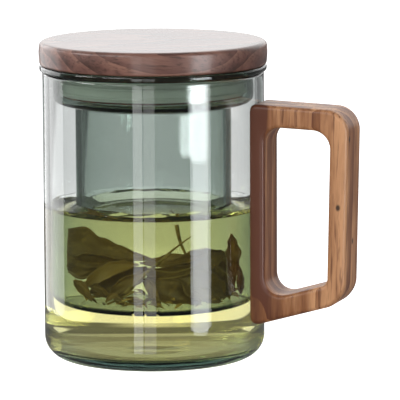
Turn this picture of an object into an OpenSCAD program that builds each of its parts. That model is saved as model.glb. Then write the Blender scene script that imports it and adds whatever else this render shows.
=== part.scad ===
// Lidded tea mug with a glass infuser and a glued walnut handle.
// Z is the axis of the mug, Z = 0 is the table and the handle points along +X.

/* [Cup] */
// Outer radius of the glass cup
cup_r = 42.5; // [36:0.5:50]
// Height of the cup from the table to the top of its rim
cup_h = 110.8; // [95:0.1:130]
// Thickness of the cup's side wall
cup_wall = 2.5; // [1.8:0.1:3.2]
// Thickness of the cup's base at its edge
base_t = 5; // [3.5:0.1:7]
// Radius of the outer bottom corner of the cup
cup_corner = 8.5; // [6:0.5:11]
// Radius of the inner bottom corner of the cup
cup_inner_corner = 4.5; // [3:0.5:9]
// Width of the flat ring that the cup stands on
foot_w = 6; // [3:0.5:12]
// Depth of the hollow inside that ring
punt_depth = 1.2; // [0.4:0.1:2]

/* [Infuser] */
// How far the infuser's flange stands out past the cup
flange_overhang = 1.1; // [0:0.1:2.5]
// Thickness of the flange that rests on the cup's rim
flange_t = 2.6; // [2.3:0.1:4]
// Rounding of the flange's outer edges
flange_round = 1.1; // [0.4:0.1:1.1]
// Gap all round between the collar and the inside of the cup
collar_gap = 1.5; // [0.8:0.1:3]
// Depth of the collar below the flange
collar_depth = 12.1; // [8:0.1:18]
// Gap all round between the narrow tube and the inside of the cup
tube_gap = 10; // [8:0.1:16]
// Clear height from the cup's floor to the underside of the tube
tube_clear = 15.4; // [8:0.1:30]
// Thickness of the infuser's glass wall
infuser_wall = 2.2; // [1.4:0.1:2.8]
// Thickness of the tube's floor
floor_t = 1.7; // [1.6:0.1:2.8]
// Radius of the tube's rounded outer corner, at its floor
tube_corner = 4.5; // [2:0.1:5]
// Radius of the collar's rounded corners, at the shoulder
infuser_corner = 3.5; // [2:0.1:3.5]
// Radius of the rounded inner corners of the infuser
infuser_inner_corner = 1.8; // [1:0.1:2.2]
// Radius of the fillet between the tube and the collar's shoulder
shoulder_fillet = 1.5; // [0.6:0.1:2]
// Vertical play between the rim of the cup and the flange
flange_seat = 0.05; // [0.02:0.01:0.2]

/* [Filter slits] */
// Number of slits in a group
slits_per_group = 3; // [1:1:5]
// Number of groups round the tube
slit_groups = 4; // [2:1:6]
// Width of one slit
slit_w = 0.8; // [0.5:0.1:1.2]
// Distance from one slit to the next
slit_pitch = 4.2; // [2.5:0.1:5]
// Radius of the saw that cuts the slits
saw_r = 14; // [10:0.5:20]
// Height of a cut above the inside of the tube's floor, at the wall
slit_rise = 1.3; // [0.4:0.1:1.5]
// Length of a cut across the underside of the tube
slit_run = 10; // [8:0.5:12]
// Direction of the first group, in degrees from the handle
slit_turn = -77; // [-90:1:90]

/* [Lid] */
// How far the lid stands out past the flange
lid_overhang = 0.3; // [0:0.1:2]
// Thickness of the wooden disc
lid_t = 8.8; // [6:0.1:14]
// Rounding of the lid's upper edge
lid_top_round = 1.8; // [0.5:0.1:2.5]
// Rounding of the lid's lower edge
lid_bottom_round = 0.9; // [0.3:0.1:2]
// How far the turned side of the lid bulges between its edges
lid_bulge = 0.35; // [0.1:0.05:0.8]
// Vertical play between the flange and the lid
lid_seat = 0.05; // [0.02:0.01:0.2]
// Gap all round between the plug and the inside of the collar
plug_gap = 1.8; // [1:0.1:3]
// Thickness of the plug's wood below the groove
plug_land = 1.2; // [1:0.1:3]
// Bevel on the plug's lower edge
plug_bevel = 0.6; // [0.2:0.1:0.9]

/* [Gasket] */
// Distance from the disc down to the gasket's groove
groove_drop = 4.6; // [2:0.1:6]
// Height of the groove, which the gasket fills
gasket_h = 6.4; // [5.6:0.1:8]
// Depth of the groove round the plug
groove_d = 2; // [1:0.1:3]
// How far the gasket's body stands out of the groove
gasket_rim = 0.5; // [0.2:0.1:0.7]
// Thickness of one lip
lip_t = 0.9; // [0.5:0.1:1.4]
// Distance between the two lips
lip_pitch = 3.5; // [2.5:0.1:4]
// Gap between a relaxed lip and the inside of the collar
lip_gap = 0.15; // [0.05:0.05:0.2]

/* [Handle] */
// Width of the handle from side to side
handle_w = 18; // [12:0.5:24]
// Reach of the handle from the outside of the cup
handle_reach = 37.3; // [30:0.1:48]
// Distance from the rim of the cup down to the handle
handle_drop = 10.6; // [6:0.1:20]
// Distance from the cup's bottom corner up to the handle
handle_lift = 6.4; // [2:0.1:15]
// Thickness of the spine in the middle, from the glue to the finger gap
spine_t = 4.6; // [3:0.1:8]
// Height of the top bar
top_bar_t = 8.3; // [6:0.1:12]
// Thickness of the grip bar
grip_t = 7.1; // [5:0.1:10]
// Thickness of the bottom bar, measured across it
bottom_bar_t = 8.4; // [5:0.1:12]
// Fall of the top bar towards the grip, in degrees
top_fall = 2; // [0:0.5:5]
// Climb of the bottom bar towards the grip, in degrees
bottom_climb = 16; // [0:0.5:20]
// Lean of the grip bar, whose lower end stands nearer to the cup, in degrees
grip_lean = 1.2; // [0:0.1:4]
// Corner radii outside: top at the cup, top at the grip, bottom at the grip, bottom at the cup
outer_corners = [3.2, 9, 10, 3.6]; // [2.6:0.1:12]
// Corner radii of the finger gap, in the same order
gap_corners = [6, 7, 3, 7]; // [2:0.1:9]
// Rounding of the handle's long arrises
arris_r = 1.7; // [0.8:0.1:2.4]
// Thickness of the glue between the cup and the handle
glue_t = 0.3; // [0.1:0.05:0.8]
// Distance that the glue stays back from the edges of the seat
glue_margin = 2; // [1:0.1:4]

/* [Hidden] */
$fn = 96;
big_arc_fn = 720;
cut_over = 1;

cup_in_r = cup_r - cup_wall;
punt_r = cup_r - cup_corner - foot_w;

flange_z = cup_h + flange_seat;
flange_top_z = flange_z + flange_t;
flange_r = cup_r + flange_overhang;
collar_r = cup_in_r - collar_gap;
collar_in_r = collar_r - infuser_wall;
shoulder_z = flange_z - collar_depth;
shoulder_top_z = shoulder_z + infuser_wall;
tube_r = cup_in_r - tube_gap;
tube_in_r = tube_r - infuser_wall;
tube_z = base_t + tube_clear;
tube_floor_z = tube_z + floor_t;

lid_z = flange_top_z + lid_seat;
lid_top_z = lid_z + lid_t;
lid_r = flange_r + lid_overhang;
plug_r = collar_in_r - plug_gap;
groove_r = plug_r - groove_d;
groove_z = lid_z - groove_drop - gasket_h;
plug_z = groove_z - plug_land;
gasket_r = plug_r + gasket_rim;
lip_r = collar_in_r - lip_gap;

handle_top_z = cup_h - handle_drop;
handle_bottom_z = cup_corner + handle_lift;
seat_r = cup_r + glue_t;
grip_x = cup_r + handle_reach;
gap_x = seat_r + spine_t;
gap_grip_x = grip_x - grip_t;
// The loop reaches into the cup by half an arris, so that the seat is cut out of it
back_x = sqrt(seat_r ^ 2 - (handle_w / 2) ^ 2) - arris_r / 2;
corner_steps = 10;
arris_steps = 4;

// Heights of the four faces of the top and bottom bars at a distance x from the axis
function top_z(x) = handle_top_z - (x - cup_r) * tan(top_fall);
function bottom_z(x) = handle_bottom_z + (x - cup_r) * tan(bottom_climb);
function gap_top_z(x) = top_z(x) - top_bar_t;
function gap_bottom_z(x) = bottom_z(x) + bottom_bar_t / cos(bottom_climb);

// Distance from the axis of a face of the grip, at x in the middle of its height, at a height z
function leaning_x(x, z) = x + (z - (handle_top_z + handle_bottom_z) / 2) * tan(grip_lean);

// The loop's sharp corners, in the order of the lists of radii
outer_sharp = [
    [back_x, top_z(back_x)],
    [leaning_x(grip_x, top_z(grip_x)), top_z(grip_x)],
    [leaning_x(grip_x, bottom_z(grip_x)), bottom_z(grip_x)],
    [back_x, bottom_z(back_x)]
];
gap_sharp = [
    [gap_x, gap_top_z(gap_x)],
    [leaning_x(gap_grip_x, gap_top_z(gap_grip_x)), gap_top_z(gap_grip_x)],
    [leaning_x(gap_grip_x, gap_bottom_z(gap_grip_x)), gap_bottom_z(gap_grip_x)],
    [gap_x, gap_bottom_z(gap_x)]
];

function unit(v) = v / norm(v);

// An arc of radius r about the centre of the fillet of radius fillet_r that rounds the corner b of a, b, c
function corner_arc(a, b, c, fillet_r, r) =
    let (
        u = unit(a - b),
        v = unit(c - b),
        half = acos(u * v) / 2,
        centre = b + unit(u + v) * fillet_r / sin(half),
        from = unit(b + u * fillet_r / tan(half) - centre),
        to = unit(b + v * fillet_r / tan(half) - centre),
        turn = 180 - 2 * half
    )
    [for (i = [0:corner_steps])
        let (done = turn * i / corner_steps)
        centre + r * (from * sin(turn - done) + to * sin(done)) / sin(turn)];

// A four-cornered outline with rounded corners, offset outwards by grow
function rounded_outline(sharp, radii, grow) =
    [for (i = [0:3])
        each corner_arc(sharp[(i + 3) % 4], sharp[i], sharp[(i + 1) % 4], radii[i], radii[i] + grow)];

// A ring of the handle's skin: is it on the outside, its depth below the face, its place across the width
function arris_ring(outside, side, angle) =
    [outside, arris_r * (1 - cos(angle)), side * (handle_w / 2 - arris_r * (1 - sin(angle)))];

// All rings in order: over one side face into the finger gap, and back over the other
function handle_rings() = [
    for (i = [0:arris_steps]) arris_ring(true, -1, 90 * i / arris_steps),
    for (i = [arris_steps:-1:0]) arris_ring(false, -1, 90 * i / arris_steps),
    for (i = [0:arris_steps]) arris_ring(false, 1, 90 * i / arris_steps),
    for (i = [arris_steps:-1:0]) arris_ring(true, 1, 90 * i / arris_steps)
];

function ring_points(ring) =
    let (outline = ring[0]
        ? rounded_outline(outer_sharp, outer_corners, -ring[1])
        : rounded_outline(gap_sharp, gap_corners, ring[1]))
    [for (p = outline) [p[0], ring[2], p[1]]];

// Half section of a round-cornered pot that fills radius r from z0 to z1
module pot_section(r, z0, z1, corner) {
    translate([0, z0]) square([r - corner, z1 - z0]);
    translate([0, z0 + corner]) square([r, z1 - z0 - corner]);
    translate([r - corner, z0 + corner]) circle(corner);
}

// Half section of a disc that fills radius r from z0 to z1, its two edges rounded
module disc_section(r, z0, z1, low_round, high_round) {
    mid_z = (z0 + z1) / 2;
    translate([0, z0]) square([r - low_round, mid_z - z0]);
    translate([0, mid_z]) square([r - high_round, z1 - mid_z]);
    translate([0, z0 + low_round]) square([r, z1 - z0 - low_round - high_round]);
    translate([r - low_round, z0 + low_round]) circle(low_round);
    translate([r - high_round, z1 - high_round]) circle(high_round);
}

// The fillet below a face at height z, on the outside of a wall at radius r
module fillet_section(r, z, fillet_r) {
    difference() {
        translate([r - cut_over, z - fillet_r]) square(fillet_r + cut_over);
        translate([r + fillet_r, z - fillet_r]) circle(fillet_r);
        translate([r + fillet_r, z - fillet_r]) square(fillet_r + cut_over);
    }
}

module cup() {
    rim_r = cup_wall / 2;
    punt_arc_r = (punt_r ^ 2 + punt_depth ^ 2) / (2 * punt_depth);
    color([0.86, 0.90, 0.89, 0.35])
    rotate_extrude() {
        difference() {
            pot_section(cup_r, 0, cup_h - rim_r, cup_corner);
            pot_section(cup_in_r, base_t, cup_h, cup_inner_corner);
            translate([0, punt_depth - punt_arc_r]) circle(punt_arc_r, $fn = big_arc_fn);
        }
        translate([cup_r - rim_r, cup_h - rim_r]) circle(rim_r);
    }
}

module handle() {
    rings = [for (ring = handle_rings()) ring_points(ring)];
    ring_count = len(rings);
    per_ring = len(rings[0]);
    skin = [for (k = [0:ring_count - 1], i = [0:per_ring - 1])
        let (next_k = (k + 1) % ring_count, next_i = (i + 1) % per_ring)
        [k * per_ring + i, next_k * per_ring + i, next_k * per_ring + next_i, k * per_ring + next_i]];
    color([0.45, 0.29, 0.19])
    difference() {
        polyhedron([for (ring = rings) each ring], skin, convexity = 6);
        cylinder(h = 2 * handle_top_z, r = seat_r);
    }
}

module handle_adhesive() {
    half_angle = asin((handle_w / 2 - glue_margin) / seat_r);
    low_z = handle_bottom_z + outer_corners[3] + glue_margin;
    high_z = handle_top_z - outer_corners[0] - glue_margin;
    color([0.9, 0.9, 0.86, 0.5])
    rotate([0, 0, -half_angle])
    rotate_extrude(angle = 2 * half_angle)
    translate([cup_r, low_z]) square([glue_t, high_z - low_z]);
}

// The saw's path through the bottom corner of the tube, at a distance across the group.
// Its rim leaves the underside slit_run inside the wall and leaves the wall above the floor.
module saw_cut(across) {
    rise = floor_t + slit_rise;
    chord = norm([slit_run, rise]);
    away = sqrt(saw_r ^ 2 - (chord / 2) ^ 2);
    saw_x = tube_r - slit_run / 2 + away * rise / chord;
    saw_z = tube_z + rise / 2 - away * slit_run / chord;
    translate([saw_x, across + slit_w / 2, saw_z])
    rotate([90, 0, 0])
    cylinder(h = slit_w, r = saw_r);
}

module infuser() {
    color([0.45, 0.55, 0.50, 0.45])
    difference() {
        rotate_extrude() difference() {
            union() {
                pot_section(tube_r, tube_z, flange_z, tube_corner);
                pot_section(collar_r, shoulder_z, flange_top_z - flange_round, infuser_corner);
                fillet_section(tube_r, shoulder_z, shoulder_fillet);
                disc_section(flange_r, flange_z, flange_top_z, flange_round, flange_round);
            }
            pot_section(tube_in_r, tube_floor_z, lid_top_z, infuser_inner_corner);
            pot_section(collar_in_r, shoulder_top_z, lid_top_z, infuser_inner_corner);
            fillet_section(tube_in_r, shoulder_top_z, infuser_corner);
        }
        for (group = [0:slit_groups - 1], i = [0:slits_per_group - 1])
            rotate([0, 0, slit_turn + group * 360 / slit_groups])
            saw_cut((i - (slits_per_group - 1) / 2) * slit_pitch);
    }
}

module lid() {
    bulge_r = ((lid_t / 2) ^ 2 + lid_bulge ^ 2) / (2 * lid_bulge);
    color([0.55, 0.39, 0.31])
    rotate_extrude() {
        intersection() {
            disc_section(lid_r, lid_z, lid_top_z, lid_bottom_round, lid_top_round);
            union() {
                translate([lid_r - bulge_r, lid_z + lid_t / 2]) circle(bulge_r, $fn = big_arc_fn);
                translate([0, lid_z]) square([lid_r - lid_bulge, lid_t]);
            }
        }
        difference() {
            translate([0, plug_z]) square([plug_r, lid_z + cut_over - plug_z]);
            translate([groove_r, groove_z]) square([groove_d + cut_over, gasket_h]);
            translate([plug_r, plug_z]) rotate(45) square(plug_bevel * sqrt(2), center = true);
        }
    }
}

module lid_gasket() {
    mid_z = groove_z + gasket_h / 2;
    color([0.82, 0.83, 0.80])
    rotate_extrude() {
        translate([groove_r, groove_z]) square([gasket_r - groove_r, gasket_h]);
        for (side = [-1, 1]) translate([gasket_r, mid_z + side * lip_pitch / 2]) {
            translate([-lip_t, -lip_t / 2]) square([lip_r - gasket_r + lip_t / 2, lip_t]);
            translate([lip_r - gasket_r - lip_t / 2, 0]) circle(lip_t / 2);
        }
    }
}

cup();
handle();
handle_adhesive();
infuser();
lid();
lid_gasket();
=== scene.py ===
# %% [markdown]
# # A glass tea mug with an infuser and walnut parts
# The mug is a straight glass beaker with a tinted glass infuser hanging in its rim, a walnut lid with a
# silicone seal, and a walnut loop glued to its side as a handle. It is half full of green tea.
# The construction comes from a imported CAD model, the frame. This notebook gives each piece its look:
# the turned pieces are spun again with finer walls, and everything gets a material.
# Blender works in metres, so every size below is written in millimetres and multiplied by MM.

# %% Load the frame
import math
import random

import bmesh
import bpy
from mathutils import Matrix, Vector, noise


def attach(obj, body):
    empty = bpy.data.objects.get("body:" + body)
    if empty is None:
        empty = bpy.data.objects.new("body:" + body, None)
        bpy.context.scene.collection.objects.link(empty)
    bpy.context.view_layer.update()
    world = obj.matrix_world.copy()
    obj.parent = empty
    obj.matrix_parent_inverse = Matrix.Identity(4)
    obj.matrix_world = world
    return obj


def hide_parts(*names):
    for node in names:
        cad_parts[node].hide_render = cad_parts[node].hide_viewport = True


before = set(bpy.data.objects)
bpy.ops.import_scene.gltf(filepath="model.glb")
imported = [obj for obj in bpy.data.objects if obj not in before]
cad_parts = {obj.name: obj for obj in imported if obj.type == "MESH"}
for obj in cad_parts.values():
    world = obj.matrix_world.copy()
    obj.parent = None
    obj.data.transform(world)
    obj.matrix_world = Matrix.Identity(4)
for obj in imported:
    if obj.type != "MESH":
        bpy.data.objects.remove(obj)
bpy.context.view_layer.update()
MM = 0.001
print("nodes:", sorted(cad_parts))

# %% [markdown]
# ## The camera
# A product shot is taken from far away with a long lens, so that upright edges stay nearly parallel.
# The camera looks down by about nine degrees and stands a little round towards the handle.
# It is set with a matrix, which says exactly where it stands: turn about Z, then tip, then a touch of roll.

# %% Place the camera
VIEW_TURN = math.radians(19.0)
VIEW_TIP = math.radians(8.77)
VIEW_ROLL = math.radians(-0.257)
VIEW_DISTANCE = 1.5
VIEW_LENS = 350.3
VIEW_TARGET = (17.76, 0.0, 60.34)  # right, towards the viewer and up, in mm
around_z = Matrix.Rotation(VIEW_TURN, 4, "Z")


def seen_place(right, toward, up):
    """A point given as the viewer sees it from the front: to the right, towards the viewer and up, in mm."""
    return around_z @ (Vector((right, -toward, up)) * MM)


camera_data = bpy.data.cameras.new("camera")
camera_data.lens = VIEW_LENS
camera_data.sensor_width = 36.0
camera_data.clip_end = 20.0
camera = bpy.data.objects.new("camera", camera_data)
bpy.context.scene.collection.objects.link(camera)
aim = around_z @ Matrix.Rotation(math.pi / 2 - VIEW_TIP, 4, "X")
target = seen_place(*VIEW_TARGET)
camera.matrix_world = (Matrix.Translation(target) @ aim @ Matrix.Rotation(VIEW_ROLL, 4, "Z")
                       @ Matrix.Translation((0, 0, VIEW_DISTANCE)))
bpy.context.scene.camera = camera
print("camera at", [round(c, 3) for c in camera.matrix_world.translation])

# %% [markdown]
# ## Helpers for meshes
# Glassware and the lid are turned shapes. Each is drawn as half a section, a chain of corners where every
# corner has its own radius, and spun about Z. Rounding the corners of the section with a vertex bevel
# before the spin is cheaper and cleaner than bevelling hundreds of edges after it.
# Long straight stretches are cut up too. Smooth shading blends normals along a face, and on glass a long
# face next to a round corner would bend the view through it. Short faces keep that to a few millimetres.

# %% Spin a section into a closed piece
SPIN_STEPS = 192
LONGEST_STRETCH = 3.0


def new_piece(name, bm, body, *replaced):
    """Makes a piece from a bmesh, rides it on its body and hides the CAD nodes it stands for."""
    mesh = bpy.data.meshes.new(name)
    bm.to_mesh(mesh)
    bm.free()
    piece = bpy.data.objects.new(name, mesh)
    bpy.context.scene.collection.objects.link(piece)
    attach(piece, body)
    if replaced:
        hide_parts(*replaced)
    print(name, "has", len(mesh.polygons), "faces")
    return piece


def shade(piece, sharp_degrees=35.0):
    """Smooth shading, but edges sharper than this angle stay crisp."""
    mesh = piece.data
    mesh.shade_smooth()
    mesh.set_sharp_from_angle(angle=math.radians(sharp_degrees))


def draw_corners(bm, corners, y, closed, steps):
    """Draws a chain of edges at one y. Each corner is (x, z, rounding) in mm, rounded in so many steps."""
    points = [bm.verts.new((x * MM, y * MM, z * MM)) for x, z, rounding in corners]
    for a, b in zip(points, points[1:] + points[:1] if closed else points[1:]):
        bm.edges.new((a, b))
    for point, (x, z, rounding) in zip(points, corners):
        if rounding > 0:
            ends = [edge.other_vert(point).co - point.co for edge in point.link_edges]
            half = ends[0].angle(ends[1]) / 2
            bmesh.ops.bevel(bm, geom=[point], offset=rounding * MM / math.tan(half), offset_type="OFFSET",
                            segments=steps, profile=0.5, affect="VERTICES", material=-1)


def section(bm, corners, closed=False, steps=8):
    """Draws a half section in the XZ plane. Each corner is (radius, height, rounding) in mm."""
    draw_corners(bm, corners, 0, closed, steps)
    for edge in list(bm.edges):
        cuts = int(edge.calc_length() / (LONGEST_STRETCH * MM))
        if cuts:
            bmesh.ops.subdivide_edges(bm, edges=[edge], cuts=cuts)


def spin(bm):
    """Spins what is drawn so far about Z into a closed skin whose faces point outwards."""
    bmesh.ops.spin(bm, geom=bm.verts[:] + bm.edges[:], cent=(0, 0, 0), axis=(0, 0, 1), angle=2 * math.pi,
                   steps=SPIN_STEPS, use_merge=True)
    bmesh.ops.remove_doubles(bm, verts=bm.verts[:], dist=0.001 * MM)
    bmesh.ops.recalc_face_normals(bm, faces=bm.faces[:])


print("a spin takes", SPIN_STEPS, "steps of", 360 / SPIN_STEPS, "degrees")

# %% [markdown]
# ## Helpers for materials
# Colours are written as the hex values that a colour picker shows, and one function turns them to the
# linear numbers that a shader works in. One function adds a node with its settings and its links.

# %% Colours and nodes


def linear(hex_colour):
    """An sRGB hex colour as the linear RGBA that Blender's sockets take."""
    parts = [int(hex_colour[i:i + 2], 16) / 255 for i in (1, 3, 5)]
    return tuple(p / 12.92 if p <= 0.04045 else ((p + 0.055) / 1.055) ** 2.4 for p in parts) + (1.0,)


def add_node(tree, kind, inputs=None, **settings):
    """Adds a node, sets its properties and fills its inputs, each with a value or a node's output."""
    node = tree.nodes.new(kind)
    for name, value in settings.items():
        setattr(node, name, value)
    for name, value in (inputs or {}).items():
        if isinstance(value, bpy.types.NodeSocket):
            tree.links.new(value, node.inputs[name])
        else:
            node.inputs[name].default_value = value
    return node


def new_material(name):
    """An empty node material and its output node."""
    material = bpy.data.materials.new(name)
    material.use_nodes = True
    material.node_tree.nodes.clear()
    return material, add_node(material.node_tree, "ShaderNodeOutputMaterial")


def dress(piece, material):
    """Gives a piece its only material."""
    piece.data.materials.clear()
    piece.data.materials.append(material)


print("middle grey in a shader is", round(linear("#808080")[0], 3))

# %% [markdown]
# ## Glass and tea
# Real glass gets its colour inside, from how far the light has travelled through it. A tint painted on the
# surface looks the same in the middle and at the edges. A Volume Absorption shader in a closed skin gives
# the true thing: pale where the wall is looked through, nearly black where it is looked along.
# The shader wants a density and a colour, and here they are worked out from what a glassmaker would
# measure: the share of each colour that is left after both walls of a glass, or after a cup full of tea.
# Blown glass is never quite even, so a bump of a few hundredths of a millimetre runs up and down its walls.
# Lamps can't find their way through bent glass, so for shadow rays and for the light that soft surfaces
# gather the glass is simply clear, and the absorption in it still tints what goes through.

# %% Make a material for glass or liquid


def clear_solid(name, ior, left, thickness, roughness=0.0, ripple=0.0, ripple_size=12.0):
    """Glass or liquid. left is the share of red, green and blue light left after thickness mm."""
    material, output = new_material(name)
    tree = material.node_tree
    shell = add_node(tree, "ShaderNodeBsdfPrincipled", {
        "Base Color": (1, 1, 1, 1), "Roughness": roughness, "IOR": ior, "Transmission Weight": 1.0})
    if ripple:
        where = add_node(tree, "ShaderNodeTexCoord")
        streaks = add_node(tree, "ShaderNodeMapping", {
            "Vector": where.outputs["Object"], "Scale": (1, 1, 0.15)})
        waves = add_node(tree, "ShaderNodeTexNoise", {
            "Vector": streaks.outputs["Vector"], "Scale": 1 / (ripple_size * MM), "Detail": 1.0})
        bump = add_node(tree, "ShaderNodeBump", {"Height": waves.outputs["Fac"], "Distance": ripple * MM})
        tree.links.new(bump.outputs["Normal"], shell.inputs["Normal"])
    path = add_node(tree, "ShaderNodeLightPath")
    soft = add_node(tree, "ShaderNodeMath", {
        0: path.outputs["Is Shadow Ray"], 1: path.outputs["Is Diffuse Ray"]}, operation="MAXIMUM")
    open_way = add_node(tree, "ShaderNodeBsdfTransparent")
    surface = add_node(tree, "ShaderNodeMixShader", {
        0: soft.outputs[0], 1: shell.outputs["BSDF"], 2: open_way.outputs["BSDF"]})
    loss = [-math.log(share) / (thickness * MM) for share in left]
    density = max(loss)
    inside = add_node(tree, "ShaderNodeVolumeAbsorption", {
        "Color": tuple(1 - one / density for one in loss) + (1.0,), "Density": density})
    tree.links.new(surface.outputs["Shader"], output.inputs["Surface"])
    tree.links.new(inside.outputs["Volume"], output.inputs["Volume"])
    return material


CUP_R = 42.5
CUP_WALL = 2.5
CUP_IN_R = CUP_R - CUP_WALL
INFUSER_WALL = 2.2
GLASS_IOR = 1.47
TEA_IOR = 1.333
CUP_LEFT = (0.88, 0.915, 0.905)
INFUSER_LEFT = (0.48, 0.56, 0.51)
TEA_LEFT = (1.0, 0.90, 0.37)
RIPPLE = 0.05
cup_glass = clear_solid("clear_borosilicate_glass", GLASS_IOR, CUP_LEFT, 2 * CUP_WALL, ripple=RIPPLE)
infuser_glass = clear_solid(
    "grey_green_borosilicate_glass", GLASS_IOR, INFUSER_LEFT, 2 * INFUSER_WALL, ripple=RIPPLE)
wet_glass = clear_solid("grey_green_glass_under_tea", GLASS_IOR / TEA_IOR, INFUSER_LEFT, 2 * INFUSER_WALL)
green_tea = clear_solid("green_tea", TEA_IOR, TEA_LEFT, 2 * CUP_IN_R)
print("both walls of the infuser leave", INFUSER_LEFT, "of red, green and blue")

# %% [markdown]
# ## The cup
# A borosilicate beaker: a wall of 2.5 mm, a base of 5 mm, a large soft radius at the bottom and a rim that
# a flame has melted round. It could be a cylinder with a Solidify modifier, but a section says everything
# at once: the hollow under the base, the foot ring, both bottom radii and the full round of the rim.
# The hollow is flat in its middle. A dished one would be a lens, and would streak the base with dark lines.
# The inner floor rises by a third of a millimetre in the middle, because worked glass is never quite flat.

# %% Spin the cup
CUP_H = 110.8
CUP_BASE = 5.0
CUP_CORNER = 8.5
CUP_IN_CORNER = 4.5
FOOT_R = 28.0
RIM_ROUND = 1.24
PUNT_DEPTH = 1.2
PUNT_SLOPE = 5.0
PUNT_ROUND = 8.0
RISE_R = 10
RISE = 0.35

rise = [(r, CUP_BASE + RISE * (1 + math.cos(math.pi * r / RISE_R)) / 2, 0) for r in range(RISE_R, -1, -1)]
bm = bmesh.new()
section(bm, [
    (0, PUNT_DEPTH, 0), (FOOT_R - PUNT_SLOPE, PUNT_DEPTH, PUNT_ROUND), (FOOT_R, 0, PUNT_ROUND),
    (CUP_R, 0, CUP_CORNER), (CUP_R, CUP_H, RIM_ROUND), (CUP_IN_R, CUP_H, RIM_ROUND),
    (CUP_IN_R, CUP_BASE, CUP_IN_CORNER), *rise], steps=24)
spin(bm)
cup = new_piece("cup_glass", bm, "cup", "cup")
shade(cup)
dress(cup, cup_glass)

# %% [markdown]
# ## The waterline
# Water climbs glass by about two millimetres and ends in a curved edge, the meniscus. The height of that
# edge wanders a little, because clean and greasy spots of the glass hold the water differently. The line
# is worked out before the infuser, because its glass is drawn differently below it.

# %% Work out where the tea meets the glass
TUBE_GAP = 10.0
TUBE_R = CUP_IN_R - TUBE_GAP
TUBE_IN_R = TUBE_R - INFUSER_WALL
TEA_Z = 57.7
CUP_CLIMB = 2.4
TUBE_CLIMB = 2.1
IN_CLIMB = 2.5
IN_TILT = 0.8
WANDER = 0.6
FINE_WANDER = 0.4
from_viewer = seen_place(0, -1, 0).normalized()


def climb_near(place):
    """How high the tea climbs the wall next to this place, in mm: the cup's, the tube's, or inside it."""
    out = place.xy.length / MM
    if out > (CUP_IN_R + TUBE_R) / 2:
        return CUP_CLIMB
    return TUBE_CLIMB if out > (TUBE_R + TUBE_IN_R) / 2 else IN_CLIMB


def contact(place):
    """How high the tea stands on that wall at this place round the mug, in mm above its level."""
    around = place.xy.normalized().to_3d()
    wall = around * 2.2 + Vector((0, 0, place.xy.length / MM * 0.3))
    uneven = noise.noise(wall) * WANDER + noise.noise(wall * 3.1) * FINE_WANDER
    tilt = IN_TILT * around.dot(from_viewer) if climb_near(place) == IN_CLIMB else 0
    return climb_near(place) + tilt + uneven


print("at the handle the tea stands", round(contact(Vector((CUP_IN_R * MM, 0, 0))), 2), "mm above its level")

# %% [markdown]
# ## The infuser
# The infuser is one piece of grey-green glass: a flange that lies on the rim, a wide collar for the lid's
# plug, a shoulder, and a narrow tube with a flat floor. It is spun like the cup. Both walls get a ring of
# points at the waterline, and each point is then moved up or down to where the tea touches the glass.

# %% Spin the infuser
SEAT_PLAY = 0.05
FLANGE_R = CUP_R + 1.1
FLANGE_T = 2.6
FLANGE_Z = CUP_H + SEAT_PLAY
FLANGE_TOP = FLANGE_Z + FLANGE_T
COLLAR_GAP = 1.5
COLLAR_R = CUP_IN_R - COLLAR_GAP
COLLAR_IN_R = COLLAR_R - INFUSER_WALL
COLLAR_DEPTH = 12.1
SHOULDER_Z = FLANGE_Z - COLLAR_DEPTH
TUBE_CLEAR = 15.4
TUBE_Z = CUP_BASE + TUBE_CLEAR
FLOOR_T = 1.7
TUBE_CORNER = 4.5
INFUSER_CORNER = 3.5
INFUSER_IN_CORNER = 1.8
SHOULDER_FILLET = 1.5
FLANGE_ROUND = 1.1
waterline = TEA_Z + TUBE_CLIMB

bm = bmesh.new()
section(bm, [
    (0, TUBE_Z, 0), (TUBE_R, TUBE_Z, TUBE_CORNER), (TUBE_R, waterline, 0),
    (TUBE_R, SHOULDER_Z, SHOULDER_FILLET), (COLLAR_R, SHOULDER_Z, INFUSER_CORNER),
    (COLLAR_R, FLANGE_Z, 0.5), (FLANGE_R, FLANGE_Z, FLANGE_ROUND), (FLANGE_R, FLANGE_TOP, FLANGE_ROUND),
    (COLLAR_IN_R, FLANGE_TOP, 0.8), (COLLAR_IN_R, SHOULDER_Z + INFUSER_WALL, INFUSER_IN_CORNER),
    (TUBE_IN_R, SHOULDER_Z + INFUSER_WALL, INFUSER_CORNER), (TUBE_IN_R, waterline, 0),
    (TUBE_IN_R, TUBE_Z + FLOOR_T, INFUSER_IN_CORNER), (0, TUBE_Z + FLOOR_T, 0)], steps=16)
spin(bm)
for vert in bm.verts:
    if abs(vert.co.z / MM - waterline) < 0.01:
        vert.co.z = (TEA_Z + contact(vert.co)) * MM
infuser = new_piece("infuser_glass", bm, "infuser", "infuser")

# %% [markdown]
# A diamond saw has cut groups of three slits across the tube's bottom corner, which let the tea out and
# hold the leaves back. They are cut with a Boolean, and each cutter is a thin disc, as the saw is.

# %% Saw the filter slits
SAW_R = 14.0
SLIT_W = 0.8
SLIT_PITCH = 4.2
SLIT_RISE = FLOOR_T + 1.3
SLIT_RUN = 10.0
SLIT_TURN = -77.0
SLIT_GROUPS = 4
SLITS = 3

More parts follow.
